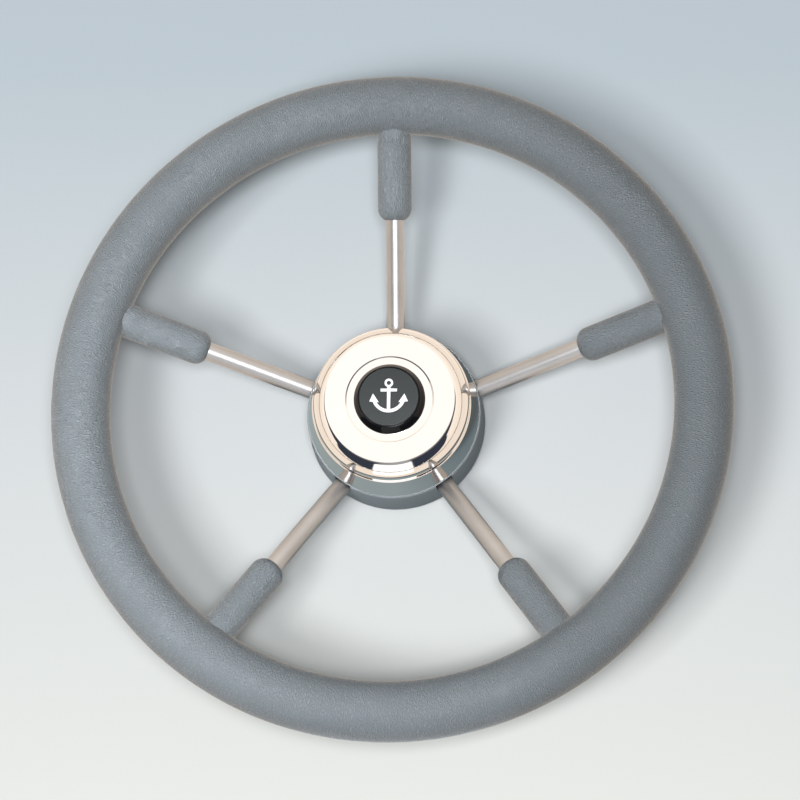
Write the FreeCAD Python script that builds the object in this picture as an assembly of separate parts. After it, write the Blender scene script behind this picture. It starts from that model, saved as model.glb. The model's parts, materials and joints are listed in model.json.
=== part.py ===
import FreeCAD, Part
import math
import os

# Marine steering wheel, 350 mm across, with its hub on a stationary console collar.
#
# Millimetres. +Z is the wheel's axis and points at the helmsman. The origin is the centre of the
# collar's rear face, which lies on the console, and spoke 1 points along +Y. Each function below
# makes one sub-part, and each sub-part is written to parts/NODE.step.

V = FreeCAD.Vector
Z_AXIS = V(0, 0, 1)

# rim
wheel_diameter = 350.0
grip_diameter = 30.4
core_diameter = 10.0              # the ring inside the grip, to which the rods are welded
ring_radius = (wheel_diameter - grip_diameter) / 2
rim_z = 53.0                      # height of the rim's centre plane

# spokes: straight rods that run down from the rim's centre line to the hub
spoke_count = 5
spoke_diameter = 9.5
spoke_wall_radius = 45.0          # where a rod leaves the hub
spoke_wall_z = 20.5
spoke_inner_radius = 24.0         # where a rod ends inside the spider
sleeve_diameter = 17.8
sleeve_inner_radius = 102.0       # where a sleeve ends, from the wheel's axis
sleeve_nose_length = 6.2
sleeve_root_radius = ring_radius - 6   # a sleeve is drawn this far out, then hollowed for the rim
spoke_slope = (rim_z - spoke_wall_z) / (ring_radius - spoke_wall_radius)

# console collar and its bush
collar_radius = 43.0
collar_thickness = 5.0
collar_edge_round = 0.8
collar_housing_radius = 20.5
collar_housing_top = 13.0
gasket_inner_radius = 37.0
gasket_outer_radius = 41.5
gasket_thickness = 1.5
console_screw_circle = 60.0       # pitch diameter
console_screw_count = 4
console_screw_hole = 5.4
console_screw_head = 10.2
bush_outer_radius = 17.5
bush_flange_radius = 20.0
bush_flange_thickness = 1.5
bush_bottom = 0.5
neck_radius = 14.5
neck_clearance = 0.05             # running fit of the boss's neck in the bush
shoulder_clearance = 0.1          # between the bush's flange and the boss's shoulder

# hub boss for the 3/4 inch taper shaft, 1 in 12
neck_bottom = 1.0
neck_chamfer = 0.8
parallel_bore_radius = 9.65
parallel_bore_length = 8.0
taper_large_radius = 19.05 / 2
taper_ratio = 1.0 / 12
boss_shoulder_z = collar_housing_top + bush_flange_thickness + shoulder_clearance
boss_register_radius = 16.0
boss_flange_z = 22.0
boss_flange_thickness = 5.0
boss_flange_radius = 30.0
boss_nose_radius = 13.0
boss_nose_z = 35.0
key_width = 4.76
key_depth = 2.4

# spider
spider_radius = 33.0
spider_bottom = 8.5
spider_skirt_radius = 22.5
spider_web_bottom = 16.0

# screws through pedestal, boss flange and spider
hub_screw_circle = 49.0
hub_screw_diameter = 5.0
hub_screw_head = 8.5
hub_screw_head_height = 5.0
hub_screw_head_clearance = 0.1
hub_screw_end_z = 16.5
hub_screw_edge = 0.4
hub_screw_socket = (4.0, 2.5)     # across flats and depth

# hub shell
shell_rear_z = 3.5
shell_rear_radius = 46.5
shell_front_z = 26.6
shell_front_radius = 45.3
shell_wall = 2.5
shell_web_bottom = 6.0
shell_web_top = 8.5
shell_web_hole_radius = 22.0
shell_edge_round = 0.7
slot_clearance = 0.25
shell_screw_circle = 56.0
shell_screw_diameter = 4.0
shell_screw_head = 8.0
shell_screw_length = 7.0
shell_screw_socket = (2.5, 1.2)   # across flats and depth

# polished front cover
cover_thickness = 0.8
cover_hole_radius = 16.0
cover_floor_z = 55.8
cover_floor_radius = 21.9
cover_step_width = 1.0
cover_face_z = 56.0
cover_face_radius = 33.0
shoulder_width = 7.2
shoulder_height = 10.8
shoulder_slope = 38.0             # degrees, of the straight part between its two arcs
shoulder_top_arc = 3.0            # radius of the arc next to the face
cover_lip_z = cover_face_z - shoulder_height
bead_height = 2.6
bead_bulge = 0.8
bead_foot_radius = 40.5
cover_rear_z = 27.5
cover_rear_radius = 44.5
seal_inner_radius = 43.0
seal_outer_radius = 44.9

# pedestal under the cover
seat_inner_radius = 16.0
seat_outer_radius = 20.2
seat_flange_thickness = 3.0
seat_flange_radius = 29.0

# centre cap and its ring
ring_base_radius = 18.3
ring_base_edge = 0.7              # the ring's upright edge, under its slope
ring_top_radius = 15.95
ring_top_z = 60.7
ring_neck_radius = 15.9
ring_neck_bottom = 46.0
ring_bore_radius = 13.8
cap_seat_z = 58.4
cap_disc_radius = 15.3
cap_gap = 0.15
cap_top_z = 61.0
cap_skirt_bottom = 50.0
cap_skirt_wall = 1.4
cap_edge = 0.4

# anchor on the cap, centred on the wheel's axis
emblem_thickness = 0.25
eye_centre = 7.2                  # towards spoke 1 from the axis
eye_outer_radius = 2.2
eye_inner_radius = 1.1
shank_width = 1.7
shank_ends = (-7.2, 5.2)
stock_length = 8.4
stock_width = 1.5
stock_foot = 2.7
arm_outer_radius = 8.6
arm_inner_radius = 6.9
arm_centre = 0.3
arm_top = -2.3
fluke_points = ((9.9, -2.5), (5.0, -2.9), (8.0, 1.6))

# shaft nut, 1/2 inch thread, 3/4 inch across flats
washer_thickness = 2.0
washer_hole_radius = 6.6
nut_across_flats = 19.05
nut_height = 7.9
nut_hole_radius = 6.35


def cylinder(radius, z0, z1, x=0.0, y=0.0):
    """A cylinder along +Z between two heights."""
    return Part.makeCylinder(radius, z1 - z0, V(x, y, z0), Z_AXIS)


def cone(radius0, radius1, z0, z1, x=0.0, y=0.0):
    """A cone frustum along +Z between two heights."""
    return Part.makeCone(radius0, radius1, z1 - z0, V(x, y, z0), Z_AXIS)


def ring(inner, outer, z0, z1):
    """A plain ring about the wheel's axis."""
    return cylinder(outer, z0, z1).cut(cylinder(inner, z0, z1))


def polar(radius, angle, z=0.0):
    """A point at a radius and an angle in degrees about the wheel's axis."""
    a = math.radians(angle)
    return V(radius * math.cos(a), radius * math.sin(a), z)


def line(a, b):
    """A straight edge in the plane of radius and height."""
    return Part.LineSegment(V(a[0], 0, a[1]), V(b[0], 0, b[1])).toShape()


def arc(a, middle, b):
    """An arc through three points in the plane of radius and height."""
    return Part.Arc(V(a[0], 0, a[1]), V(middle[0], 0, middle[1]), V(b[0], 0, b[1])).toShape()


def turned(edges):
    """The solid that a closed outline sweeps about the wheel's axis."""
    face = Part.Face(Part.Wire(edges))
    return face.revolve(V(0, 0, 0), Z_AXIS, 360)


def turned_polygon(points):
    """A turned solid whose outline is made of straight lines only."""
    closed = points + points[:1]
    return turned([line(a, b) for a, b in zip(closed, closed[1:])])


def spoke_angle(number):
    """Spoke 1 points along +Y, and the others follow counter-clockwise."""
    return 90.0 + (number - 1) * 360.0 / spoke_count


def between_spokes(number):
    """The angle halfway from one spoke to the next."""
    return spoke_angle(number) + 180.0 / spoke_count


def spoke_point(number, radius):
    """The point of a spoke's centre line at a radius from the wheel's axis."""
    return polar(radius, spoke_angle(number), rim_z - (ring_radius - radius) * spoke_slope)


def along_spoke(number, rod_radius, start, end):
    """A cylinder on a spoke's centre line, between two radii from the wheel's axis."""
    a = spoke_point(number, start)
    b = spoke_point(number, end)
    return Part.makeCylinder(rod_radius, (b - a).Length, a, b - a)


# ---------------------------------------------------------------- stationary pieces

def dash_collar():
    body = cylinder(collar_radius, 0, collar_thickness)
    rounded_edge = [e for e in body.Edges if abs(e.BoundBox.ZMin - collar_thickness) < 1e-6]
    body = body.makeFillet(collar_edge_round, rounded_edge)
    body = body.fuse(cylinder(collar_housing_radius, 0, collar_housing_top))
    body = body.cut(cylinder(bush_outer_radius, 0, collar_housing_top))
    body = body.cut(ring(gasket_inner_radius, gasket_outer_radius, 0, gasket_thickness))
    head_depth = (console_screw_head - console_screw_hole) / 2
    for i in range(console_screw_count):
        p = polar(console_screw_circle / 2, 45 + i * 360 / console_screw_count)
        body = body.cut(cylinder(console_screw_hole / 2, 0, collar_thickness, p.x, p.y))
        body = body.cut(cone(console_screw_hole / 2, console_screw_head / 2,
                             collar_thickness - head_depth, collar_thickness, p.x, p.y))
    return body


def rear_gasket():
    return ring(gasket_inner_radius, gasket_outer_radius, 0, gasket_thickness)


def collar_bush():
    inner = neck_radius + neck_clearance
    flange_top = collar_housing_top + bush_flange_thickness
    return turned_polygon([
        (inner, bush_bottom),
        (bush_outer_radius, bush_bottom),
        (bush_outer_radius, collar_housing_top),
        (bush_flange_radius, collar_housing_top),
        (bush_flange_radius, flange_top),
        (inner, flange_top)])


# ---------------------------------------------------------------- hub

def hub_boss():
    flange_top = boss_flange_z + boss_flange_thickness
    body = turned_polygon([
        (0, neck_bottom),
        (neck_radius - neck_chamfer, neck_bottom),
        (neck_radius, neck_bottom + neck_chamfer),
        (neck_radius, boss_shoulder_z),
        (boss_register_radius, boss_shoulder_z),
        (boss_register_radius, boss_flange_z),
        (boss_flange_radius, boss_flange_z),
        (boss_flange_radius, flange_top),
        (boss_nose_radius, flange_top),
        (boss_nose_radius, boss_nose_z),
        (0, boss_nose_z)])
    taper_start = neck_bottom + parallel_bore_length
    taper_end_radius = taper_large_radius - (boss_nose_z - taper_start) * taper_ratio / 2
    body = body.cut(cylinder(parallel_bore_radius, neck_bottom, taper_start))
    body = body.cut(cone(taper_large_radius, taper_end_radius, taper_start, boss_nose_z))
    keyway = Part.makeBox(key_width, taper_large_radius + key_depth, boss_nose_z - neck_bottom,
                          V(-key_width / 2, 0, neck_bottom))
    body = body.cut(keyway)
    for i in range(1, spoke_count + 1):
        p = polar(hub_screw_circle / 2, between_spokes(i))
        body = body.cut(cylinder(hub_screw_diameter / 2, boss_flange_z, flange_top, p.x, p.y))
    return body


def spoke_hub():
    body = turned_polygon([
        (boss_register_radius, spider_web_bottom),
        (spider_skirt_radius, spider_web_bottom),
        (spider_skirt_radius, spider_bottom),
        (spider_radius, spider_bottom),
        (spider_radius, boss_flange_z),
        (boss_register_radius, boss_flange_z)])
    screw_top = shell_web_bottom + shell_screw_length
    for i in range(1, spoke_count + 1):
        body = body.cut(along_spoke(i, spoke_diameter / 2, spoke_inner_radius, 2 * spider_radius))
        p = polar(hub_screw_circle / 2, between_spokes(i))
        body = body.cut(cylinder(hub_screw_diameter / 2, spider_bottom, boss_flange_z, p.x, p.y))
        q = polar(shell_screw_circle / 2, between_spokes(i))
        body = body.cut(cylinder(shell_screw_diameter / 2, spider_bottom, screw_top, q.x, q.y))
    return body


def hub_screws():
    head_z = boss_flange_z + boss_flange_thickness + seat_flange_thickness
    top_z = head_z + hub_screw_head_height
    across_flats, depth = hub_screw_socket
    screws = []
    for i in range(1, spoke_count + 1):
        p = polar(hub_screw_circle / 2, between_spokes(i))
        shank = cylinder(hub_screw_diameter / 2, hub_screw_end_z, head_z, p.x, p.y)
        head = cylinder(hub_screw_head / 2, head_z, top_z, p.x, p.y)
        top_edge = [e for e in head.Edges if e.BoundBox.ZMin > top_z - 1e-6]
        head = head.makeChamfer(hub_screw_edge, top_edge)
        socket = hexagon(across_flats, depth, V(p.x, p.y, top_z - depth))
        screws.append(shank.fuse(head).cut(socket))
    return Part.makeCompound(screws)


def hexagon(across_flats, height, centre):
    """A hexagonal prism along +Z, standing on the given centre."""
    r = across_flats / math.sqrt(3)
    points = [centre + polar(r, 60 * i) for i in range(6)]
    return Part.Face(Part.makePolygon(points + points[:1])).extrude(V(0, 0, height))


def shell_radius(z):
    """The outside radius of the hub shell, which narrows evenly towards the front."""
    share = (z - shell_rear_z) / (shell_front_z - shell_rear_z)
    return shell_rear_radius + share * (shell_front_radius - shell_rear_radius)


def hub_shell():
    rear_inner = shell_rear_radius - shell_wall
    front_inner = shell_front_radius - shell_wall
    r = shell_edge_round
    k = r * (1 - math.sqrt(0.5))  # how far a rounded corner's middle lies inside the sharp one
    rear_corner = [(shell_rear_radius - r, shell_rear_z), (shell_rear_radius - k, shell_rear_z + k),
                   (shell_radius(shell_rear_z + r), shell_rear_z + r)]
    front_corner = [(shell_radius(shell_front_z - r), shell_front_z - r),
                    (shell_front_radius - k, shell_front_z - k),
                    (shell_front_radius - r, shell_front_z)]
    body = turned([
        line((rear_inner, shell_rear_z), rear_corner[0]),
        arc(*rear_corner),
        line(rear_corner[2], front_corner[0]),
        arc(*front_corner),
        line(front_corner[2], (front_inner, shell_front_z)),
        line((front_inner, shell_front_z), (front_inner, shell_web_top)),
        line((front_inner, shell_web_top), (shell_web_hole_radius, shell_web_top)),
        line((shell_web_hole_radius, shell_web_top), (shell_web_hole_radius, shell_web_bottom)),
        line((shell_web_hole_radius, shell_web_bottom), (rear_inner, shell_web_bottom)),
        line((rear_inner, shell_web_bottom), (rear_inner, shell_rear_z))])
    for i in range(1, spoke_count + 1):
        body = body.cut(spoke_slot(i))
        q = polar(shell_screw_circle / 2, between_spokes(i))
        body = body.cut(countersunk(q))
    return body


def spoke_slot(number):
    """The U-slot that lets a rod into the shell: the rod's own path, swept up to the front edge."""
    radius = spoke_diameter / 2 + slot_clearance
    start = spider_radius + 1
    end = shell_rear_radius + 4
    round_bottom = along_spoke(number, radius, start, end)
    a = spoke_point(number, start)
    b = spoke_point(number, end)
    side = polar(radius, spoke_angle(number) + 90)
    corners = [a - side, a + side, b + side, b - side]
    floor = Part.Face(Part.makePolygon(corners + corners[:1]))
    return round_bottom.fuse(floor.extrude(V(0, 0, shell_front_z)))


def countersunk(place):
    """A countersunk screw, head down and flush with the shell's rear web."""
    head_depth = (shell_screw_head - shell_screw_diameter) / 2
    z0 = shell_web_bottom
    head = cone(shell_screw_head / 2, shell_screw_diameter / 2, z0, z0 + head_depth, place.x, place.y)
    shank = cylinder(shell_screw_diameter / 2, z0, z0 + shell_screw_length, place.x, place.y)
    return head.fuse(shank)


def shell_screws():
    across_flats, depth = shell_screw_socket
    screws = []
    for i in range(1, spoke_count + 1):
        q = polar(shell_screw_circle / 2, between_spokes(i))
        socket = hexagon(across_flats, depth, V(q.x, q.y, shell_web_bottom))
        screws.append(countersunk(q).cut(socket))
    return Part.makeCompound(screws)


# ---------------------------------------------------------------- spokes and rim

def core_ring(radius):
    return Part.makeTorus(ring_radius, radius, V(0, 0, rim_z), Z_AXIS)


def spoke(number):
    rod = along_spoke(number, spoke_diameter / 2, spoke_inner_radius, ring_radius)
    return rod.cut(core_ring(core_diameter / 2))


def rim_core():
    return core_ring(core_diameter / 2)


def rim_grip():
    body = core_ring(grip_diameter / 2).cut(core_ring(core_diameter / 2))
    for i in range(1, spoke_count + 1):
        body = body.cut(along_spoke(i, spoke_diameter / 2, sleeve_inner_radius, ring_radius))
    return body


def spoke_sleeve(number):
    """A sleeve turned about its rod, with a rounded nose, and hollowed to sit on the rim."""
    start = spoke_point(number, sleeve_inner_radius)
    direction = spoke_point(number, sleeve_root_radius) - start
    outer = sleeve_diameter / 2
    bore = spoke_diameter / 2
    nose_radius = ((outer - bore) ** 2 + sleeve_nose_length ** 2) / (2 * (outer - bore))
    bend = math.asin(sleeve_nose_length / nose_radius) / 2
    nose_middle = (outer - nose_radius * (1 - math.cos(bend)),
                   sleeve_nose_length - nose_radius * math.sin(bend))
    body = turned([
        arc((bore, 0), nose_middle, (outer, sleeve_nose_length)),
        line((outer, sleeve_nose_length), (outer, direction.Length)),
        line((outer, direction.Length), (bore, direction.Length)),
        line((bore, direction.Length), (bore, 0))])
    body.Placement = FreeCAD.Placement(start, FreeCAD.Rotation(Z_AXIS, direction))
    return body.cut(core_ring(grip_diameter / 2))


# ---------------------------------------------------------------- front cover and cap

def cover_outline(inset):
    """The front cover's outline from its middle hole to its rear edge, moved inwards by inset."""
    floor_z = cover_floor_z - inset
    face_z = cover_face_z - inset
    step0 = cover_floor_radius
    step1 = cover_floor_radius + cover_step_width
    middle = (step0 + step1) / 2
    middle_z = (floor_z + face_z) / 2
    half = cover_step_width / 2
    rise = (face_z - floor_z) / 2
    step_radius = (half * half + rise * rise) / (2 * rise)
    bend = math.asin(half / step_radius) / 2
    dip = (step0 + step_radius * math.sin(bend), floor_z + step_radius * (1 - math.cos(bend)))
    crest = (step1 - step_radius * math.sin(bend), face_z - step_radius * (1 - math.cos(bend)))
    # the shoulder is a tight arc, a straight slope and a wide arc that ends upright at the lip
    width = shoulder_width - inset
    height = shoulder_height - inset
    slope = math.radians(shoulder_slope)
    tight = shoulder_top_arc - inset
    across = width - tight * math.sin(slope)
    down = height - tight * (1 - math.cos(slope))
    share = 1 - math.sin(slope)
    wide = (down * math.cos(slope) - across * math.sin(slope)) / share
    top = (cover_face_radius, face_z)
    join = (top[0] + tight * math.sin(slope), top[1] - tight * (1 - math.cos(slope)))
    turn = (cover_face_radius + width - wide * share, cover_lip_z + wide * math.cos(slope))
    centre = (cover_face_radius + width - wide, cover_lip_z)
    lip = (cover_face_radius + width, cover_lip_z)
    tight_middle = (top[0] + tight * math.sin(slope / 2), top[1] - tight * (1 - math.cos(slope / 2)))
    halfway = (slope + math.pi / 2) / 2
    wide_middle = (centre[0] + wide * math.sin(halfway), centre[1] + wide * math.cos(halfway))
    bead_end = (bead_foot_radius - inset, cover_lip_z - bead_height)
    bead_middle = (lip[0] + bead_bulge, cover_lip_z - bead_height / 2)
    rear = (cover_rear_radius - inset, cover_rear_z)
    edges = [
        line((cover_hole_radius, floor_z), (step0, floor_z)),
        arc((step0, floor_z), dip, (middle, middle_z)),
        arc((middle, middle_z), crest, (step1, face_z)),
        line((step1, face_z), top),
        arc(top, tight_middle, join),
        line(join, turn),
        arc(turn, wide_middle, lip),
        arc(lip, bead_middle, bead_end),
        line(bead_end, rear)]
    return edges, floor_z, rear


def front_cover():
    outside, floor_out, rear_out = cover_outline(0.0)
    inside, floor_in, rear_in = cover_outline(cover_thickness)
    closing = [line((cover_hole_radius, floor_in), (cover_hole_radius, floor_out)),
               line(rear_in, rear_out)]
    return turned(Part.__sortEdges__(outside + inside + closing))


def cover_seal():
    return ring(seal_inner_radius, seal_outer_radius, shell_front_z, cover_rear_z)


def cover_seat():
    base = boss_flange_z + boss_flange_thickness
    top = cover_floor_z - cover_thickness
    body = turned_polygon([
        (seat_inner_radius, base),
        (seat_flange_radius, base),
        (seat_flange_radius, base + seat_flange_thickness),
        (seat_outer_radius, base + seat_flange_thickness),
        (seat_outer_radius, top),
        (seat_inner_radius, top)])
    for i in range(1, spoke_count + 1):
        p = polar(hub_screw_circle / 2, between_spokes(i))
        body = body.cut(cylinder(hub_screw_diameter / 2, base, base + seat_flange_thickness, p.x, p.y))
        head_room = hub_screw_head / 2 + hub_screw_head_clearance
        body = body.cut(cylinder(head_room, base + seat_flange_thickness, top, p.x, p.y))
    return body


def cap_ring():
    recess = cap_disc_radius + cap_gap
    return turned_polygon([
        (ring_bore_radius, ring_neck_bottom),
        (ring_neck_radius, ring_neck_bottom),
        (ring_neck_radius, cover_floor_z),
        (ring_base_radius, cover_floor_z),
        (ring_base_radius, cover_floor_z + ring_base_edge),
        (ring_top_radius, ring_top_z),
        (recess, ring_top_z),
        (recess, cap_seat_z - cap_gap),
        (ring_bore_radius, cap_seat_z - cap_gap)])


def centre_cap():
    skirt = ring_bore_radius - cap_gap
    return turned_polygon([
        (0, cap_seat_z),
        (skirt - cap_skirt_wall, cap_seat_z),
        (skirt - cap_skirt_wall, cap_skirt_bottom),
        (skirt, cap_skirt_bottom),
        (skirt, cap_seat_z),
        (cap_disc_radius, cap_seat_z),
        (cap_disc_radius, cap_top_z - cap_edge),
        (cap_disc_radius - cap_edge, cap_top_z),
        (0, cap_top_z)])


def cap_emblem():
    """A plain anchor: a ring and stock above, a shank, and a curved arm with a fluke at each end."""
    z0 = cap_top_z
    z1 = cap_top_z + emblem_thickness
    eye = cylinder(eye_outer_radius, z0, z1, 0, eye_centre)
    eye = eye.cut(cylinder(eye_inner_radius, z0, z1, 0, eye_centre))
    shank = Part.makeBox(shank_width, shank_ends[1] - shank_ends[0], emblem_thickness,
                         V(-shank_width / 2, shank_ends[0], z0))
    stock = Part.makeBox(stock_length, stock_width, emblem_thickness,
                         V(-stock_length / 2, stock_foot, z0))
    arm = cylinder(arm_outer_radius, z0, z1, 0, arm_centre)
    arm = arm.cut(cylinder(arm_inner_radius, z0, z1, 0, arm_centre))
    arm = arm.cut(Part.makeBox(2.5 * arm_outer_radius, 2 * arm_outer_radius, emblem_thickness,
                               V(-1.25 * arm_outer_radius, arm_top, z0)))
    flukes = []
    for side in (-1, 1):
        points = [V(side * x, y, z0) for x, y in fluke_points]
        face = Part.Face(Part.makePolygon(points + points[:1]))
        flukes.append(face.extrude(V(0, 0, emblem_thickness)))
    body = shank.fuse([eye, stock, arm] + flukes)
    return body.removeSplitter()


def nut_washer():
    return ring(washer_hole_radius, boss_nose_radius, boss_nose_z, boss_nose_z + washer_thickness)


def shaft_nut():
    base = boss_nose_z + washer_thickness
    top = base + nut_height
    flat = nut_across_flats / 2
    body = hexagon(nut_across_flats, nut_height, V(0, 0, base))
    # two cones take the hexagon's corners off at its bottom and top
    body = body.common(cone(flat, flat + nut_height, base, top))
    body = body.common(cone(flat + nut_height, flat, base, top))
    return body.cut(cylinder(nut_hole_radius, base, top))


# ---------------------------------------------------------------- export

def all_parts():
    parts = {
        "dash_collar": dash_collar(),
        "rear_gasket": rear_gasket(),
        "collar_bush": collar_bush(),
        "hub_boss": hub_boss(),
        "spoke_hub": spoke_hub(),
        "hub_screws": hub_screws(),
        "hub_shell": hub_shell(),
        "shell_screws": shell_screws(),
        "rim_core": rim_core(),
        "rim_grip": rim_grip(),
        "cover_seat": cover_seat(),
        "front_cover": front_cover(),
        "cover_seal": cover_seal(),
        "cap_ring": cap_ring(),
        "centre_cap": centre_cap(),
        "cap_emblem": cap_emblem(),
        "nut_washer": nut_washer(),
        "shaft_nut": shaft_nut(),
    }
    for i in range(1, spoke_count + 1):
        parts[f"spoke_{i}"] = spoke(i)
        parts[f"spoke_sleeve_{i}"] = spoke_sleeve(i)
    return parts


def main():
    os.makedirs("parts", exist_ok=True)
    for name, shape in all_parts().items():
        solids = shape.Solids
        whole = solids[0] if len(solids) == 1 else Part.makeCompound(solids)
        print(f"{name:16s} solids {len(solids)} valid {whole.isValid()} volume {whole.Volume:10.1f}")
        whole.exportStep(f"parts/{name}.step")


main()
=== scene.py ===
"""The look of the boat steering wheel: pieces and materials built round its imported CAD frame.

Metres, in the frame's own axes: +Z runs along the wheel's axis towards the helmsman, +Y along
spoke 1, and the hub's collar lies on the floor at z = 0.
"""
import json
import math

import bmesh
import bpy
from mathutils import Matrix, Vector

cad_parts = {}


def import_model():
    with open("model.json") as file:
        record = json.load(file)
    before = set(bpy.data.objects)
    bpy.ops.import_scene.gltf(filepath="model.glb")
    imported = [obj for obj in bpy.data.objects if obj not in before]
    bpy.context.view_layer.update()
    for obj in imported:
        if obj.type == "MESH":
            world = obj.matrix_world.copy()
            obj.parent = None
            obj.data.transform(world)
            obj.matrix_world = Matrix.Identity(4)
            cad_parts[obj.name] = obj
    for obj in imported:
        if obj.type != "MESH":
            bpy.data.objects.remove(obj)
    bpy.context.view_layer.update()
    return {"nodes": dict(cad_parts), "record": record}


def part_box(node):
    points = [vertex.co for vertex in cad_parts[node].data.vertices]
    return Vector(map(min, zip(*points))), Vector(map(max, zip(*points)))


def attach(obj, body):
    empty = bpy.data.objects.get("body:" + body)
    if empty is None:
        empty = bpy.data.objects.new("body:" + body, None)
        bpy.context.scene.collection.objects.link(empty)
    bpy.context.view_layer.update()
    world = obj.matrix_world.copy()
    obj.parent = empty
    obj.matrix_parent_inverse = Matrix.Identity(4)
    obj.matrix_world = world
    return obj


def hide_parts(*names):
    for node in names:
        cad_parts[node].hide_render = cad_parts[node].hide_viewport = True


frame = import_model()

MM = 0.001
SPOKES = 5
WHEEL = "wheel"

# ---------------------------------------------------------------- sizes, from the frame

grip_low, grip_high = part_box("rim_grip")
GRIP_RADIUS = (grip_high.z - grip_low.z) / 2
RING_RADIUS = grip_high.x - GRIP_RADIUS
RIM_Z = (grip_high.z + grip_low.z) / 2

ROD_RADIUS = 4.75 * MM
rod_low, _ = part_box("spoke_1")


def spoke_line():
    """The slope of a rod, and the radius of its inner end's centre."""
    lean = 0.0
    for _ in range(6):  # each round brings the slope closer; six are plenty
        inner = rod_low.y + ROD_RADIUS * math.sin(lean)
        height = rod_low.z + ROD_RADIUS * math.cos(lean)
        lean = math.atan2(RIM_Z - height, RING_RADIUS - inner)
    return lean, inner


ROD_LEAN, ROD_INNER = spoke_line()

sleeve_low, sleeve_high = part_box("spoke_sleeve_1")
SLEEVE_RADIUS = sleeve_high.x
SLEEVE_INNER = sleeve_low.y + ROD_RADIUS * math.sin(ROD_LEAN)
SLEEVE_NOSE = 6.2 * MM
SLEEVE_CREASE = 0.7 * MM
ROD_SHORT = 6.0 * MM  # how far a rod's end stays short of the rim's middle

cover_low, cover_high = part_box("front_cover")
COVER_REAR_RADIUS = cover_high.x
COVER_REAR_Z = cover_low.z
COVER_FACE_Z = cover_high.z
COVER_THICKNESS = 0.8 * MM
COVER_HOLE = 16.0 * MM
COVER_FLOOR_DEPTH = 0.2 * MM
COVER_FLOOR_RADIUS = 21.9 * MM
COVER_STEP = 1.0 * MM
COVER_FACE_RADIUS = 33.0 * MM
SHOULDER_WIDTH = 7.2 * MM
SHOULDER_HEIGHT = 10.8 * MM
SHOULDER_SLOPE = 38.0
SHOULDER_TOP_ARC = 3.0 * MM
BEAD_HEIGHT = 2.6 * MM
BEAD_BULGE = 0.8 * MM
BEAD_FOOT = 40.5 * MM

shell_low, shell_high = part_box("hub_shell")
SHELL_REAR_RADIUS = shell_high.x
SHELL_FRONT_RADIUS = SHELL_REAR_RADIUS - 1.2 * MM
SHELL_WALL = 2.5 * MM
SHELL_WEB = 6.0 * MM
SHELL_WEB_TOP = 8.5 * MM
SHELL_WEB_HOLE = 22.0 * MM
SLOT_CLEARANCE = 0.25 * MM
SLOT_FROM, SLOT_TO = 36.0 * MM, 52.0 * MM  # the radii between which a slot is cut
SLOT_LIFT = 30.0 * MM

ring_low, ring_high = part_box("cap_ring")
cap_low, cap_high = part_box("centre_cap")
CAP_RADIUS = cap_high.x


# ---------------------------------------------------------------- mesh helpers

def arc_points(centre, radius, start, end, steps):
    """Points on an arc, from one angle to another in degrees, the first one left out."""
    points = []
    for i in range(1, steps + 1):
        a = math.radians(start + (end - start) * i / steps)
        points.append((centre[0] + radius * math.cos(a), centre[1] + radius * math.sin(a)))
    return points


def rounded(corners):
    """A closed outline of (radius, height) points whose corners are rounded.

    Each corner is (r, z, rounding).
    """
    steps = 6
    outline = []
    count = len(corners)
    for i in range(count):
        before = Vector(corners[i - 1][:2])
        here = Vector(corners[i][:2])
        after = Vector(corners[(i + 1) % count][:2])
        size = corners[i][2]
        if size <= 0:
            outline.append(tuple(here))
            continue
        to_before = (before - here).normalized()
        to_after = (after - here).normalized()
        half = to_before.angle(to_after) / 2
        reach = size / math.tan(half)
        start = here + to_before * reach
        end = here + to_after * reach
        centre = here + (to_before + to_after).normalized() * (size / math.sin(half))
        for k in range(steps + 1):
            t = k / steps
            p = start.lerp(end, t) - centre
            outline.append(tuple(centre + p.normalized() * size))
    return outline


def make_object(name, bm, smooth_angle=35.0):
    """An object from a bmesh, smooth except along edges sharper than the angle."""
    bmesh.ops.recalc_face_normals(bm, faces=bm.faces)
    mesh = bpy.data.meshes.new(name)
    bm.to_mesh(mesh)
    bm.free()
    mesh.shade_smooth()
    mesh.set_sharp_from_angle(angle=math.radians(smooth_angle))
    obj = bpy.data.objects.new(name, mesh)
    bpy.context.scene.collection.objects.link(obj)
    return obj


def grid_faces(bm, rings, wrap_along=False):
    """Quads between rings of vertices; each ring closes on itself."""
    count = len(rings)
    last = count if wrap_along else count - 1
    for i in range(last):
        a, b = rings[i], rings[(i + 1) % count]
        n = len(a)
        for k in range(n):
            bm.faces.new((a[k], a[(k + 1) % n], b[(k + 1) % n], b[k]))


def lathe(name, outline, segments=192, closed=True, smooth_angle=35.0):
    """A turned piece: the outline of (radius, height) points swept about the wheel's axis."""
    bm = bmesh.new()
    rings = []
    for r, z in outline:
        ring = []
        for k in range(segments):
            a = 2 * math.pi * k / segments
            ring.append(bm.verts.new((r * math.cos(a), r * math.sin(a), z)))
        rings.append(ring)
    grid_faces(bm, rings, wrap_along=closed)
    if not closed:
        bm.faces.new(rings[0])
        bm.faces.new(rings[-1])
    return make_object(name, bm, smooth_angle)


def spoke_frame(number):
    """The matrix that takes local +Z to a spoke's outward direction.

    Its origin is where the spoke's line meets the wheel's axis.
    """
    turn = Matrix.Rotation(2 * math.pi * (number - 1) / SPOKES, 4, "Z")
    base = Vector((0, 0, RIM_Z - RING_RADIUS * math.tan(ROD_LEAN)))
    lean = Matrix.Rotation(ROD_LEAN - math.pi / 2, 4, "X")
    return turn @ Matrix.Translation(base) @ lean


def along(radius):
    """The distance along a spoke's line at a radius from the wheel's axis."""
    return radius / math.cos(ROD_LEAN)


# ---------------------------------------------------------------- materials

# most of a noise texture's values lie between these
NOISE_LOW, NOISE_HIGH = 0.3, 0.7


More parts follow.
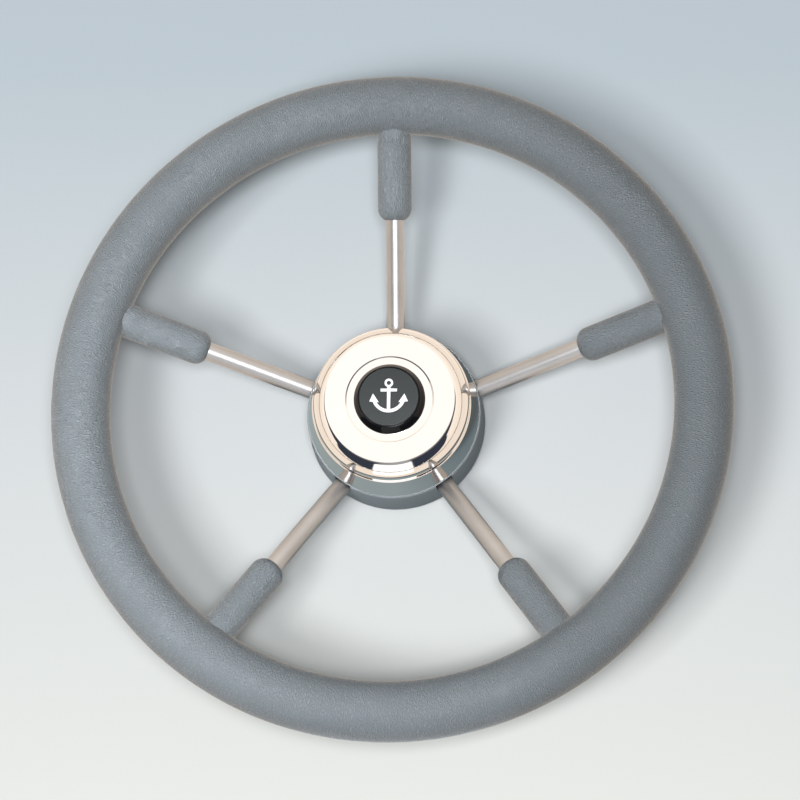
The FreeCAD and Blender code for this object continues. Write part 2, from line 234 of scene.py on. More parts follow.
class Nodes:
    """A node tree, with short ways to add and join its nodes."""

    def __init__(self, tree):
        self.tree = tree

    def node(self, kind, **values):
        made = self.tree.nodes.new(kind)
        for key, value in values.items():
            if hasattr(made, key):
                setattr(made, key, value)
            else:
                made.inputs[key.replace("_", " ")].default_value = value
        return made

    def link(self, output, target):
        self.tree.links.new(output, target)

    def stretched(self, scale, source):
        mapping = self.node("ShaderNodeMapping")
        mapping.inputs["Scale"].default_value = scale
        self.link(source, mapping.inputs["Vector"])
        return mapping.outputs["Vector"]

    def noise(self, scale, detail=3.0, rough=0.55, source=None, distortion=0.0):
        made = self.node("ShaderNodeTexNoise", Scale=scale, Detail=detail, Roughness=rough,
                         Distortion=distortion)
        self.link(source or self.place, made.inputs["Vector"])
        return made.outputs["Fac"]

    def ramp(self, value, stops):
        made = self.node("ShaderNodeValToRGB")
        elements = made.color_ramp.elements
        while len(elements) < len(stops):
            elements.new(0.5)
        for element, (position, colour) in zip(elements, stops):
            element.position = position
            element.color = (*colour, 1.0)
        self.link(value, made.inputs["Fac"])
        return made.outputs["Color"]

    def drift(self, value, dark, light):
        """A colour that drifts from dark to light with a noise value."""
        return self.ramp(value, [(NOISE_LOW, dark), (NOISE_HIGH, light)])

    def span(self, value, low, high, from_low, from_high):
        """A value moved from one range to another."""
        made = self.node("ShaderNodeMapRange")
        made.inputs["From Min"].default_value = from_low
        made.inputs["From Max"].default_value = from_high
        made.inputs["To Min"].default_value = low
        made.inputs["To Max"].default_value = high
        self.link(value, made.inputs["Value"])
        return made.outputs["Result"]

    def add(self, a, b, share):
        """a plus a share of b."""
        made = self.node("ShaderNodeMath", operation="MULTIPLY_ADD")
        self.link(b, made.inputs[0])
        made.inputs[1].default_value = share
        self.link(a, made.inputs[2])
        return made.outputs[0]

    def bump(self, height, distance, strength, under=None):
        made = self.node("ShaderNodeBump", Distance=distance, Strength=strength)
        self.link(height, made.inputs["Height"])
        if under is not None:
            self.link(under, made.inputs["Normal"])
        return made.outputs["Normal"]

    def put(self, value, target):
        """Joins an output to an input, or sets the input to a number."""
        if isinstance(value, bpy.types.NodeSocket):
            self.link(value, target)
        else:
            target.default_value = value

    def math(self, operation, *values):
        made = self.node("ShaderNodeMath", operation=operation)
        for value, target in zip(values, made.inputs):
            self.put(value, target)
        return made.outputs[0]

    def distance(self, x, y):
        """The length of (x, y)."""
        squares = [self.math("MULTIPLY", value, value) for value in (x, y)]
        return self.math("SQRT", self.math("ADD", *squares))

    def mix(self, share, a, b, blend="MIX"):
        """Colour a, going over to colour b."""
        made = self.node("ShaderNodeMix", data_type="RGBA", blend_type=blend)
        self.put(share, made.inputs[0])
        self.put(a, made.inputs[6])
        self.put(b, made.inputs[7])
        return made.outputs[2]

    def step(self, value, start, end):
        """0 up to start and 1 from end on, smooth between them."""
        made = self.node("ShaderNodeMapRange", interpolation_type="SMOOTHSTEP")
        made.inputs["From Min"].default_value = start
        made.inputs["From Max"].default_value = end
        self.link(value, made.inputs["Value"])
        return made.outputs["Result"]


class Shader(Nodes):
    """A material built on one Principled shader."""

    def __init__(self, name):
        self.material = bpy.data.materials.new(name)
        self.material.use_nodes = True
        super().__init__(self.material.node_tree)
        self.surface = self.tree.nodes["Principled BSDF"]
        self.place = self.node("ShaderNodeTexCoord").outputs["Object"]

    def set(self, socket, value):
        self.put(value, self.surface.inputs[socket])


def grained_grip(name, stretch):
    """Soft grey moulded grip with a fine leather grain: small raised wrinkles, longer one way.

    The grain lies in the surface's own UV map, in metres, and stretch is its (u, v) scale. The
    creases between the wrinkles are darkened in the base colour: painted shade.
    """
    bend_reach = 0.0016
    pebble_scale = 1080.0
    grain_depth = 0.00040
    s = Shader(name)
    uv = s.node("ShaderNodeUVMap", uv_map="grain")
    source = s.stretched((*stretch, 1.0), uv.outputs["UV"])
    bend = s.noise(420.0, 2.0, 0.5, source)
    moved = s.node("ShaderNodeVectorMath", operation="MULTIPLY_ADD")
    s.link(bend, moved.inputs[0])
    moved.inputs[1].default_value = (bend_reach, bend_reach, 0.0)
    s.link(source, moved.inputs[2])
    pebble = s.node("ShaderNodeTexVoronoi", feature="DISTANCE_TO_EDGE", Scale=pebble_scale)
    s.link(moved.outputs[0], pebble.inputs["Vector"])
    crown = s.step(pebble.outputs["Distance"], 0.0, 0.42)
    fine = s.noise(2800.0, 2.0, 0.6, source)
    height = s.add(crown, fine, 0.55)
    swell = s.bump(s.noise(55.0, 2.0, 0.5), 0.0004, 0.3)
    s.set("Normal", s.bump(height, grain_depth, 1.0, swell))
    tone = s.noise(14.0, 4.0, 0.6)
    colour = s.drift(tone, (0.194, 0.219, 0.237), (0.215, 0.241, 0.259))
    # painted shade: the creases between the raised wrinkles are darker in the base colour
    crease = s.ramp(crown, [(0.0, (0.76, 0.77, 0.78)), (0.55, (1.0, 1.0, 1.0))])
    s.set("Base Color", s.mix(1.0, colour, crease, "MULTIPLY"))
    s.set("Roughness", s.span(fine, 0.24, 0.34, NOISE_LOW, NOISE_HIGH))
    s.set("Specular IOR Level", 0.28)
    return s.material


def mirror_steel(name):
    """Polished stainless: almost a mirror, with faint polishing marks and a few soft smudges."""
    s = Shader(name)
    tone = s.noise(30.0, 3.0, 0.5)
    s.set("Base Color", s.drift(tone, (0.665, 0.635, 0.605), (0.70, 0.67, 0.64)))
    s.set("Metallic", 1.0)
    smudge = s.noise(45.0, 5.0, 0.65, distortion=0.6)
    s.set("Roughness", s.span(smudge, 0.035, 0.085, 0.35, 0.75))
    marks = s.noise(2600.0, 2.0, 0.6)
    s.set("Normal", s.bump(marks, 0.000004, 0.25))
    return s.material


def brushed_rod(name):
    """Rod stock: drawn stainless, duller than the cover, with fine marks."""
    s = Shader(name)
    tone = s.noise(60.0, 3.0, 0.5)
    s.set("Base Color", s.drift(tone, (0.38, 0.37, 0.365), (0.42, 0.41, 0.405)))
    s.set("Metallic", 1.0)
    drawn = s.noise(900.0, 3.0, 0.6)
    s.set("Roughness", s.span(drawn, 0.40, 0.48, NOISE_LOW, NOISE_HIGH))
    s.set("Normal", s.bump(drawn, 0.00001, 0.35))
    return s.material


def turned_steel(name, colour):
    """Machined steel with fine turning rings about the wheel's axis."""
    s = Shader(name)
    rings = s.node("ShaderNodeTexWave", wave_type="RINGS", rings_direction="Z", Scale=900.0,
                   Distortion=1.5, Detail=2.0)
    s.link(s.place, rings.inputs["Vector"])
    tone = s.noise(70.0, 3.0, 0.6)
    dark = tuple(0.86 * c for c in colour)
    s.set("Base Color", s.drift(tone, dark, colour))
    s.set("Metallic", 1.0)
    s.set("Roughness", s.span(tone, 0.24, 0.40, NOISE_LOW, NOISE_HIGH))
    s.set("Normal", s.bump(rings.outputs["Fac"], 0.00002, 0.5))
    return s.material


def moulded(name, dark, light, rough, scale, depth, specular=0.5):
    """Moulded plastic or rubber with a fine spark-eroded texture and a slight drift in tone.

    rough is the range of roughness, and scale and depth are the texture's, in metres.
    """
    s = Shader(name)
    s.set("Base Color", s.drift(s.noise(25.0, 3.0, 0.55), dark, light))
    texture = s.noise(scale, 3.0, 0.65)
    s.set("Roughness", s.span(texture, *rough, NOISE_LOW, NOISE_HIGH))
    s.set("Normal", s.bump(texture, depth, 0.6))
    s.set("Specular IOR Level", specular)
    return s.material


GRIP = grained_grip("grip_grey", (1.0, 0.42))
SLEEVE = grained_grip("grip_grey_sleeve", (1.0, 0.30))
MIRROR = mirror_steel("polished_steel")
ROD = brushed_rod("polished_steel_rod")
TURNED = turned_steel("turned_steel", (0.56, 0.56, 0.55))
SCREW = turned_steel("screw_steel", (0.62, 0.62, 0.60))
SHELL = moulded("shell_grey", (0.200, 0.226, 0.242), (0.226, 0.252, 0.268),
                rough=(0.42, 0.60), scale=1500.0, depth=0.00012)
GLOSS_BLACK = moulded("gloss_black", (0.004, 0.004, 0.005), (0.007, 0.007, 0.008),
                      rough=(0.04, 0.07), scale=900.0, depth=0.00001, specular=0.12)
SATIN_BLACK = moulded("satin_black", (0.016, 0.020, 0.021), (0.021, 0.025, 0.027),
                      rough=(0.42, 0.54), scale=1800.0, depth=0.00005, specular=0.3)
WHITE = moulded("emblem_white", (0.80, 0.80, 0.80), (0.86, 0.86, 0.86),
                rough=(0.28, 0.40), scale=1200.0, depth=0.00002)
BLACK_MOULDING = moulded("black_moulding", (0.018, 0.018, 0.019), (0.026, 0.026, 0.027),
                         rough=(0.45, 0.60), scale=1400.0, depth=0.00008)
RUBBER = moulded("black_rubber", (0.010, 0.010, 0.010), (0.016, 0.016, 0.016),
                 rough=(0.60, 0.78), scale=1000.0, depth=0.00010)
ACETAL = moulded("acetal", (0.66, 0.66, 0.61), (0.74, 0.74, 0.69),
                 rough=(0.30, 0.42), scale=900.0, depth=0.00004)

BY_SLOT = {
    "grip_grey": GRIP,
    "shell_grey": SHELL,
    "polished_steel": MIRROR,
    "turned_steel": TURNED,
    "screw_steel": SCREW,
    "gloss_black": GLOSS_BLACK,
    "satin_black": SATIN_BLACK,
    "emblem_white": WHITE,
    "black_moulding": BLACK_MOULDING,
    "black_rubber": RUBBER,
    "acetal": ACETAL,
}


def finish_piece(obj, material, body, slot, *nodes):
    """Gives a piece its material and body, and hides the CAD nodes it stands for."""
    obj.visible_glossy = material not in (GRIP, SLEEVE)  # the grips aren't seen in the mirrors
    obj.data.materials.append(material)
    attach(obj, body)
    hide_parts(*nodes)
    return obj


# ---------------------------------------------------------------- CAD nodes that stay

for part in frame["record"]["subparts"]:
    node = frame["nodes"][part["node"]]
    node.data.materials.clear()
    node.data.materials.append(BY_SLOT[part["material_slot"]])


# ---------------------------------------------------------------- rim and sleeves

def rim():
    """The grip: one even ring."""
    bm = bmesh.new()
    around, across = 720, 112
    rings = []
    for i in range(around):
        a = 2 * math.pi * i / around
        ring = []
        for k in range(across):
            b = 2 * math.pi * k / across
            r = RING_RADIUS + GRIP_RADIUS * math.cos(b)
            z = RIM_Z + GRIP_RADIUS * math.sin(b)
            ring.append(bm.verts.new((r * math.cos(a), r * math.sin(a), z)))
        rings.append(ring)
    layer = bm.loops.layers.uv.new("grain")
    length, girth = 2 * math.pi * RING_RADIUS, 2 * math.pi * GRIP_RADIUS
    for i in range(around):
        for k in range(across):
            corners = ((i, k), (i, k + 1), (i + 1, k + 1), (i + 1, k))
            face = bm.faces.new([rings[a % around][b % across] for a, b in corners])
            for loop, (a, b) in zip(face.loops, corners):
                loop[layer].uv = (length * a / around, girth * b / across)
    return make_object("rim_grip_skin", bm)


def rim_reach(matrix, x, y):
    """How far along a spoke's line, beside it by x and y, the rim's surface lies."""
    near, far = along(RING_RADIUS - 1.5 * GRIP_RADIUS), along(RING_RADIUS)
    for _ in range(40):  # halves the gap each time
        middle = (near + far) / 2
        p = matrix @ Vector((x, y, middle))
        outside = math.hypot(math.hypot(p.x, p.y) - RING_RADIUS, p.z - RIM_Z) > GRIP_RADIUS
        if outside:
            near = middle
        else:
            far = middle
    return near


def sleeve(number):
    """A sleeve with a rounded nose. Its outer end is hollowed to fit the rim, and has a crease."""
    matrix = spoke_frame(number)
    start = along(SLEEVE_INNER)
    rise = SLEEVE_RADIUS - ROD_RADIUS
    nose = (rise ** 2 + SLEEVE_NOSE ** 2) / (2 * rise)
    sweep = math.asin(SLEEVE_NOSE / nose)
    crease = SLEEVE_CREASE
    segments = 96
    nose_steps, body_steps, crease_steps = 16, 40, 6
    bm = bmesh.new()
    layer = bm.loops.layers.uv.new("grain")
    rings = []
    for i in range(nose_steps + 1):
        a = sweep * (1 - i / nose_steps)
        radius = SLEEVE_RADIUS - nose * (1 - math.cos(a))
        rings.append([(radius, start + SLEEVE_NOSE - nose * math.sin(a))] * segments)
    ends = []
    for k in range(segments):
        b = 2 * math.pi * k / segments
        x, y = SLEEVE_RADIUS * math.cos(b), SLEEVE_RADIUS * math.sin(b)
        ends.append(rim_reach(matrix, x, y))
    body_start = start + SLEEVE_NOSE
    for i in range(1, body_steps + 1):
        rings.append([(SLEEVE_RADIUS, body_start + (end - crease - body_start) * i / body_steps)
                      for end in ends])
    for i in range(1, crease_steps + 1):
        a = math.pi / 2 * i / crease_steps
        radius = SLEEVE_RADIUS - crease * (1 - math.cos(a))
        rings.append([(radius, end - crease + crease * math.sin(a)) for end in ends])
    rings.append([(ROD_RADIUS, end + crease) for end in ends])
    made = []
    for ring in rings:
        row = []
        for k, (radius, distance) in enumerate(ring):
            b = 2 * math.pi * k / segments
            local = Vector((radius * math.cos(b), radius * math.sin(b), distance))
            row.append((bm.verts.new(matrix @ local), distance))
        made.append(row)
    for a, b in zip(made, made[1:]):
        for k in range(segments):
            n = (k + 1) % segments
            face = bm.faces.new((a[k][0], a[n][0], b[n][0], b[k][0]))
            u0 = 2 * math.pi * SLEEVE_RADIUS * k / segments
            u1 = 2 * math.pi * SLEEVE_RADIUS * (k + 1) / segments
            corners = ((u0, a[k][1]), (u1, a[n][1]), (u1, b[n][1]), (u0, b[k][1]))
            for loop, corner in zip(face.loops, corners):
                loop[layer].uv = corner
    bm.faces.new([v for v, _ in made[0]])
    bm.faces.new([v for v, _ in made[-1]])
    return make_object(f"sleeve_{number}", bm, 40.0)


def rod(number):
    """A rod, from the spider's socket to inside the rim."""
    matrix = spoke_frame(number)
    ends = (along(ROD_INNER), along(RING_RADIUS) - ROD_SHORT)
    segments, steps = 64, 12
    bm = bmesh.new()
    rings = []
    for i in range(steps + 1):
        distance = ends[0] + (ends[1] - ends[0]) * i / steps
        ring = []
        for k in range(segments):
            b = 2 * math.pi * k / segments
            local = Vector((ROD_RADIUS * math.cos(b), ROD_RADIUS * math.sin(b), distance))
            ring.append(bm.verts.new(matrix @ local))
        rings.append(ring)
    grid_faces(bm, rings)
    bm.faces.new(rings[0])
    bm.faces.new(rings[-1])
    return make_object(f"rod_{number}", bm)


rods = []
finish_piece(rim(), GRIP, WHEEL, "grip_grey", "rim_grip")
for n in range(1, SPOKES + 1):
    finish_piece(sleeve(n), SLEEVE, WHEEL, "grip_grey", f"spoke_sleeve_{n}")
    rods.append(finish_piece(rod(n), ROD, WHEEL, "polished_steel", f"spoke_{n}"))


# ---------------------------------------------------------------- hub

def cover_skin(inset):
    """The cover's outline from its middle hole to its rear edge, moved inwards by inset."""
    floor_z = COVER_FACE_Z - COVER_FLOOR_DEPTH - inset
    face_z = COVER_FACE_Z - inset
    half = COVER_STEP / 2
    rise = (face_z - floor_z) / 2
    bend_radius = (half * half + rise * rise) / (2 * rise)
    bend = math.degrees(math.asin(half / bend_radius))
    points = [(COVER_HOLE, floor_z), (COVER_FLOOR_RADIUS, floor_z)]
    points += arc_points((COVER_FLOOR_RADIUS, floor_z + bend_radius), bend_radius,
                         -90, -90 + bend, 8)
    points += arc_points((COVER_FLOOR_RADIUS + COVER_STEP, face_z - bend_radius), bend_radius,
                         90 + bend, 90, 8)
    points += [(COVER_FACE_RADIUS, face_z)]
    width = SHOULDER_WIDTH - inset
    height = SHOULDER_HEIGHT - inset
    sine, cosine = math.sin(math.radians(SHOULDER_SLOPE)), math.cos(math.radians(SHOULDER_SLOPE))
    tight = SHOULDER_TOP_ARC - inset
    wide = ((height - tight * (1 - cosine)) * cosine - (width - tight * sine) * sine) / (1 - sine)
    points += arc_points((COVER_FACE_RADIUS, face_z - tight), tight, 90, 90 - SHOULDER_SLOPE, 12)
    join = points[-1]
    centre = (COVER_FACE_RADIUS + width - wide, face_z - height)
    turn = (centre[0] + wide * sine, centre[1] + wide * cosine)
    for t in (0.25, 0.5, 0.75, 1.0):
        points.append((join[0] + (turn[0] - join[0]) * t, join[1] + (turn[1] - join[1]) * t))
    points += arc_points(centre, wide, 90 - SHOULDER_SLOPE, 0, 20)
    lip = points[-1]
    foot = (BEAD_FOOT - inset, lip[1] - BEAD_HEIGHT)
    bead_steps, skirt_steps = 12, 8
    for i in range(1, bead_steps + 1):
        t = i / bead_steps
        swell = BEAD_BULGE * math.sin(math.pi * t)
        points.append((lip[0] + (foot[0] - lip[0]) * t + swell, lip[1] + (foot[1] - lip[1]) * t))
    rear = (COVER_REAR_RADIUS - inset, COVER_REAR_Z)
    for i in range(1, skirt_steps + 1):
        t = i / skirt_steps
        points.append((foot[0] + (rear[0] - foot[0]) * t, foot[1] + (rear[1] - foot[1]) * t))
    return points


def front_cover():
    """The polished cover, one wall thick all over."""
    outside = cover_skin(0.0)
    inside = cover_skin(COVER_THICKNESS)
    return lathe("polished_cover", outside + inside[::-1], 288, smooth_angle=30.0)


def hub_shell():
    """The grey shell, with a U-slot for each rod cut through its wall from the front edge."""
    inner_rear = SHELL_REAR_RADIUS - SHELL_WALL
    inner_front = SHELL_FRONT_RADIUS - SHELL_WALL
    outline = rounded([
        (inner_rear, shell_low.z, 0.2 * MM),
        (SHELL_REAR_RADIUS, shell_low.z, 0.7 * MM),
        (SHELL_FRONT_RADIUS, shell_high.z, 0.7 * MM),
        (inner_front, shell_high.z, 0.2 * MM),
        (inner_front, SHELL_WEB_TOP, 0.4 * MM),
        (SHELL_WEB_HOLE, SHELL_WEB_TOP, 0.2 * MM),
        (SHELL_WEB_HOLE, SHELL_WEB, 0.2 * MM),
        (inner_rear, SHELL_WEB, 0.4 * MM)])
    shell = lathe("hub_shell_skin", outline, 240)
    cutters = []
    for number in range(1, SPOKES + 1):
        cutters.append(slot_cutter(number))
        cut = shell.modifiers.new("slot", "BOOLEAN")
        cut.operation = "DIFFERENCE"
        cut.solver = "EXACT"
        cut.object = cutters[-1]
    settle(shell)
    for cutter in cutters:
        bpy.data.objects.remove(cutter)
    return shell


def settle(obj):
    """Applies an object's modifiers and sets its sharp edges again."""
    depsgraph = bpy.context.evaluated_depsgraph_get()
    mesh = bpy.data.meshes.new_from_object(obj.evaluated_get(depsgraph))
    mesh.shade_smooth()
    mesh.set_sharp_from_angle(angle=math.radians(30))
    obj.modifiers.clear()
    obj.data = mesh


def slot_cutter(number):
    """A rod's path through the shell's wall, swept up past the front edge."""
    matrix = spoke_frame(number)
    radius = ROD_RADIUS + SLOT_CLEARANCE
    ends = (along(SLOT_FROM), along(SLOT_TO))
    lift = Vector((0, 0, SLOT_LIFT))
    arc_steps = 24
    bm = bmesh.new()
    sections = []
    for distance in ends:
        section = []
        for k in range(arc_steps + 1):
            b = math.pi * k / arc_steps
            local = Vector((radius * math.cos(b), radius * math.sin(b), distance))
            section.append(matrix @ local)
        section += [section[-1] + lift, section[0] + lift]
        sections.append([bm.verts.new(p) for p in section])
    first, second = sections
    count = len(first)
    for k in range(count):
        bm.faces.new((first[k], first[(k + 1) % count], second[(k + 1) % count], second[k]))
    bm.faces.new(first)
    bm.faces.new(second)
    return make_object(f"cutter_{number}", bm)


def cap_ring():
    """The gloss black ring round the cap, with a snap neck that goes down into the pedestal."""
    neck = ring_high.x - 2.4 * MM
    bore = 13.8 * MM
    seat = 58.25 * MM
    top_outer = 15.95 * MM
    top_inner = 15.45 * MM
    base = COVER_FACE_Z - COVER_FLOOR_DEPTH
    edge = base + 0.7 * MM
    outline = rounded([
        (bore, ring_low.z, 0.3 * MM),
        (neck, ring_low.z, 0.3 * MM),
        (neck, base, 0.05 * MM),
        (ring_high.x, base, 0.15 * MM),
        (ring_high.x, edge, 0.35 * MM),
        (top_outer, ring_high.z, 0.6 * MM),
        (top_inner, ring_high.z, 0.08 * MM),
        (top_inner, seat, 0.2 * MM),
        (bore, seat, 0.2 * MM)])
    return lathe("cap_ring_skin", outline, 192)


def centre_cap():
    """The push-in cap: a flat satin top with a soft edge, on a short skirt."""
    skirt = 13.65 * MM
    wall = 1.4 * MM
    seat = 58.4 * MM
    inside = skirt - wall
    middle = 0.2 * MM  # the flat ends of the sweep close this small circle
    outline = rounded([
        (middle, seat, 0),
        (inside, seat, 0.4 * MM),
        (inside, cap_low.z, 0.2 * MM),
        (skirt, cap_low.z, 0.3 * MM),
        (skirt, seat, 0.3 * MM),
        (CAP_RADIUS, seat, 0.2 * MM),
        (CAP_RADIUS, cap_high.z, 0.45 * MM),
        (middle, cap_high.z, 0)])
    return lathe("centre_cap_skin", outline, 160, closed=False)


cover = finish_piece(front_cover(), MIRROR, WHEEL, "polished_steel", "front_cover")
shell = finish_piece(hub_shell(), SHELL, WHEEL, "shell_grey", "hub_shell")
finish_piece(cap_ring(), GLOSS_BLACK, WHEEL, "gloss_black", "cap_ring")
finish_piece(centre_cap(), SATIN_BLACK, "cap", "satin_black", "centre_cap")


# ---------------------------------------------------------------- floor, lights and camera

# the floor's tone along +Y, and how far either side of the wheel's axis it changes
FLOOR_TONES = [(0.0, (0.536, 0.545, 0.517)), (0.5, (0.480, 0.500, 0.509)),
               (1.0, (0.388, 0.440, 0.470))]
FLOOR_CHANGE = 0.20
# the sheet that polished parts mirror in the floor's place, a glow seen only by glossy rays and so
# a painted reflection: its own tone, a painted dark edge to the hub's shade, painted shade from -X
# to +X where the hub's shade falls, and a painted white card towards -Y
SHEET_PAINTED_GLOW = (1.30, 1.14, 0.99, 1.0)
SHEET_PAINTED_SHADE_EDGE = (0.12, 0.14, 0.15, 1.0)
SHEET_PAINTED_SHADE = [(0.0, (0.40, 0.48, 0.49)), (0.5, (0.38, 0.46, 0.49)), (1.0, (0.19, 0.25, 0.28))]
SHEET_PAINTED_CARD = (1.7, 1.7, 1.7, 1.0)
# the painted shade's centre in y and half its width in x, and the distances from the centre, or for
# the card from the axis, between which each tone gives way to the next
SHADE_Y, SHADE_REACH = -0.020, 0.07
SHADED_TO_EDGE = (0.066, 0.071)
EDGE_TO_SHEET = (0.078, 0.086)
SHEET_TO_CARD = (0.150, 0.160)
# half the white card's width, as a share of its distance
CARD_SPREAD = 0.37
# what polished parts mirror besides the floor: a white panel, the walls and the dark room by the
# direction's height z, and towards -Y a grey sweep with a white card low down in it
PANEL = (1.60, 1.56, 1.52, 1.0)
PANEL_CENTRE = (-0.078, 0.25)  # x and y of the direction that the cover's flat face mirrors
PANEL_REACH = (0.20, 0.25)
SIDES = [(0.0, (1.34, 1.18, 1.02)), (0.6, (1.50, 1.36, 1.22))]
ROOM = [(0.90, (0.05, 0.06, 0.09)), (0.96, (0.35, 0.34, 0.33))]
SWEEP = (0.52, 0.54, 0.58, 1.0)
LOW_CARD = (1.8, 1.8, 1.8, 1.0)
LOW_CARD_TOP = (0.60, 0.66)
# how low the dark room comes, as (z + 1) / 2, by the angle from -Y as a share of 180 degrees
ROOM_FOOT = [(place, (low, low, low)) for place, low in (
    (0.12, 0.30), (0.16, 0.50), (0.28, 0.56), (0.33, 0.60), (0.43, 0.80),
    (0.52, 0.89), (0.68, 0.915), (0.78, 0.95), (0.88, 1.05))]

HUB_MIDDLE = (0, 0, 0.03)
COOL = (0.97, 0.99, 1.0)


def floor():
    """A plain pale floor, cooler and a little darker towards +Y.

    Polished parts mirror it as a glowing warm sheet, seen only by glossy rays: a painted
    reflection, with painted shade in grey where the hub's shade falls, a painted dark edge to that
    shade, and a painted white card in a sector far down towards the camera.
    """
    bm = bmesh.new()
    bmesh.ops.create_grid(bm, x_segments=1, y_segments=1, size=6.0)
    obj = make_object("studio_floor", bm)
    s = Shader("studio_floor")
    split = s.node("ShaderNodeSeparateXYZ")
    s.link(s.place, split.inputs[0])
    x, y, _ = split.outputs
    colour = s.ramp(s.span(y, 0.0, 1.0, -FLOOR_CHANGE, FLOOR_CHANGE), FLOOR_TONES)
    cloud = s.drift(s.noise(1.5, 2.0, 0.5), (0.985, 0.985, 0.985), (1.0, 1.0, 1.0))
    s.set("Base Color", s.mix(1.0, colour, cloud, "MULTIPLY"))
    s.set("Roughness", 0.9)
    s.set("Specular IOR Level", 0.1)
    away = s.distance(x, y)
    shade = s.distance(x, s.math("SUBTRACT", y, SHADE_Y))
    # painted shade: grey where the hub's shade falls, with a painted dark edge round it
    painted_shade = s.ramp(s.span(x, 0.0, 1.0, -SHADE_REACH, SHADE_REACH), SHEET_PAINTED_SHADE)
    painted_shade = s.mix(s.step(shade, *SHADED_TO_EDGE), painted_shade, SHEET_PAINTED_SHADE_EDGE)
    painted_sheet = s.mix(s.step(shade, *EDGE_TO_SHEET), painted_shade, SHEET_PAINTED_GLOW)
    aside = s.math("SUBTRACT", s.math("MULTIPLY", y, -CARD_SPREAD), s.math("ABSOLUTE", x))
    card = s.math("MULTIPLY", s.step(aside, 0.0, 0.01), s.step(away, *SHEET_TO_CARD))
    # painted reflection: glossy rays see the floor as a glowing sheet with a painted white card
    mirrored = s.node("ShaderNodeEmission")
    s.link(s.mix(card, painted_sheet, SHEET_PAINTED_CARD), mirrored.inputs["Color"])
    join = s.node("ShaderNodeMixShader")
    s.link(s.node("ShaderNodeLightPath").outputs["Is Glossy Ray"], join.inputs[0])
    s.link(s.surface.outputs[0], join.inputs[1])
    s.link(mirrored.outputs[0], join.inputs[2])
    s.link(join.outputs[0], s.tree.nodes["Material Output"].inputs["Surface"])
    obj.data.materials.append(s.material)
    obj.visible_diffuse = False
    return obj


def area_light(name, place, target, size, power, colour=(1, 1, 1), seen_in_mirrors=True,
               spread=180.0):
    """A square light at a place, turned to a target."""
    light = bpy.data.lights.new(name, "AREA")
    light.shape = "RECTANGLE"
    light.size = light.size_y = size
    light.energy = power
    light.color = colour
    light.spread = math.radians(spread)
    obj = bpy.data.objects.new(name, light)
    obj.location = place
    obj.rotation_euler = (Vector(target) - Vector(place)).to_track_quat("-Z", "Y").to_euler()
    obj.visible_glossy = seen_in_mirrors
    bpy.context.scene.collection.objects.link(obj)
    return obj


def light_only(light, *objects, wanted=True):
    """Lets a light fall on these objects only, or on everything but them."""
    group = bpy.data.collections.new(f"{light.name}_receivers")
    for obj in objects:
        group.objects.link(obj)
    light.light_linking.receiver_collection = group
    if not wanted:
        for member in group.collection_objects:
            member.light_linking.link_state = "EXCLUDE"


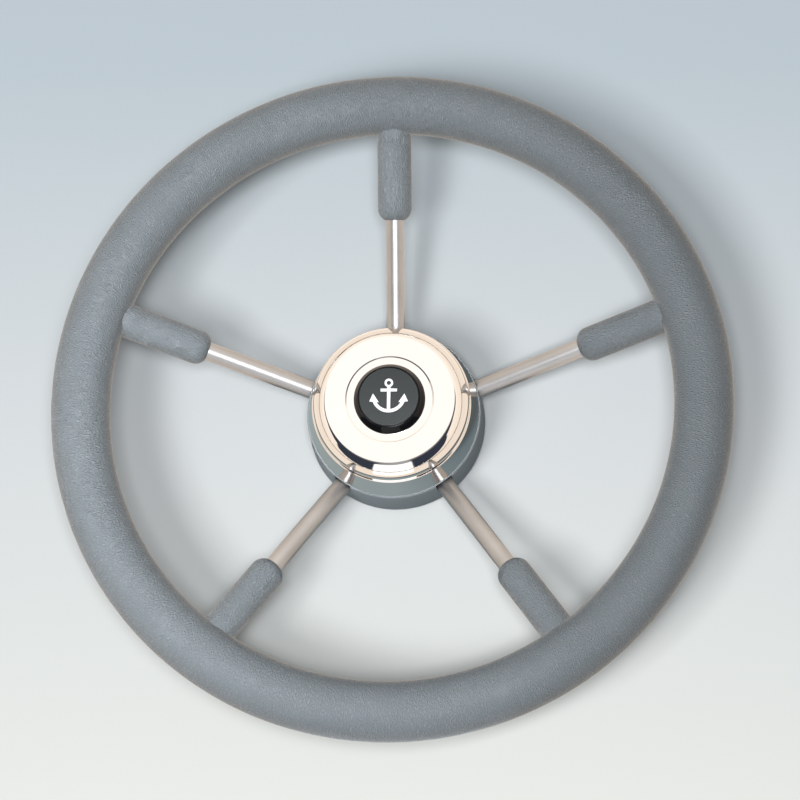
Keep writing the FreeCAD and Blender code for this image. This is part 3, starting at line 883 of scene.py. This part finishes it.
def world():
    """What the polished parts mirror besides the floor. It lights matt surfaces only dimly.

    There is a white panel overhead, warm walls at the sides, a dark room above them, and towards
    -Y a grey sweep with a white card low down in it.
    """
    made = bpy.data.worlds.new("studio")
    made.use_nodes = True
    w = Nodes(made.node_tree)
    split = w.node("ShaderNodeSeparateXYZ")
    w.link(w.node("ShaderNodeTexCoord").outputs["Generated"], split.inputs[0])
    x, y, z = split.outputs
    off = [w.math("SUBTRACT", value, centre) for value, centre in zip((x, y), PANEL_CENTRE)]
    panel = w.math("SUBTRACT", 1.0, w.step(w.distance(*off), *PANEL_REACH))
    aside = w.math("ABSOLUTE", w.math("ADD", x, 0.006))
    towards = w.math("MULTIPLY", y, -1.0)
    azimuth = w.math("DIVIDE", w.math("ARCTAN2", aside, towards), math.pi)
    foot = w.ramp(azimuth, ROOM_FOOT)
    above = w.math("SUBTRACT", z, w.math("MULTIPLY_ADD", foot, 2.0, -1.0))
    room = w.step(above, 0.0, 0.05)
    beside = w.math("SUBTRACT", w.math("MULTIPLY", towards, CARD_SPREAD), aside)
    sector = w.step(beside, -0.02, 0.02)
    low = w.math("SUBTRACT", 1.0, w.step(z, *LOW_CARD_TOP))
    colour = w.mix(room, w.ramp(z, SIDES), w.ramp(z, ROOM))
    colour = w.mix(sector, colour, SWEEP)
    colour = w.mix(w.math("MULTIPLY", low, sector), colour, LOW_CARD)
    colour = w.mix(panel, colour, PANEL)
    mirrored = w.tree.nodes["Background"]
    w.link(colour, mirrored.inputs["Color"])
    dim = w.node("ShaderNodeBackground", Color=(0.80, 0.88, 0.96, 1.0), Strength=0.06)
    join = w.node("ShaderNodeMixShader")
    w.link(w.node("ShaderNodeLightPath").outputs["Is Diffuse Ray"], join.inputs[0])
    w.link(mirrored.outputs[0], join.inputs[1])
    w.link(dim.outputs[0], join.inputs[2])
    w.link(join.outputs[0], w.tree.nodes["World Output"].inputs["Surface"])
    bpy.context.scene.world = made


def camera():
    """The view is from in front of the wheel, a little below its axis and to its right."""
    tilt = math.radians(-14.39)
    swing = math.radians(-4.5)
    roll = math.radians(0.41)
    distance = 1.440
    lens, sensor = 126.765, 36.0
    aside = Vector((-5.15 * MM, -0.28 * MM, -distance))
    turn = (Matrix.Rotation(swing, 3, "Y") @ Matrix.Rotation(tilt, 3, "X")
            @ Matrix.Rotation(roll, 3, "Z"))
    back = turn.transposed()
    data = bpy.data.cameras.new("camera")
    data.lens = lens
    data.sensor_width = sensor
    obj = bpy.data.objects.new("camera", data)
    place = Matrix.Translation(Vector((0, 0, RIM_Z)) - back @ aside)
    obj.matrix_world = place @ back.to_4x4()
    bpy.context.scene.collection.objects.link(obj)
    bpy.context.scene.camera = obj


studio_floor = floor()
world()
key = area_light("key", (-1.04, -1.08, 2.62), HUB_MIDDLE, 0.95, 65, seen_in_mirrors=False)
light_only(key, studio_floor)
fill = area_light("fill", (0.13, -0.42, 1.9), HUB_MIDDLE, 0.5, 31, (0.96, 0.98, 1.0))
light_only(fill, studio_floor, *rods)
front = area_light("front", (0.05, -0.42, 1.9), (-0.22, -0.02, 0.05), 0.5, 3.0, COOL, spread=40.0)
light_only(front, studio_floor, cover, *rods, wanted=False)
side = area_light("side", (-0.5, -0.25, 0.7), HUB_MIDDLE, 0.35, 3, COOL)
light_only(side, studio_floor, cover, *rods, wanted=False)
lower = area_light("lower", (-0.6, -0.7, 0.3), (0, 0, 0.02), 0.35, 2.6, COOL, seen_in_mirrors=False)
light_only(lower, shell)
bpy.context.scene.view_settings.view_transform = "Standard"
camera()
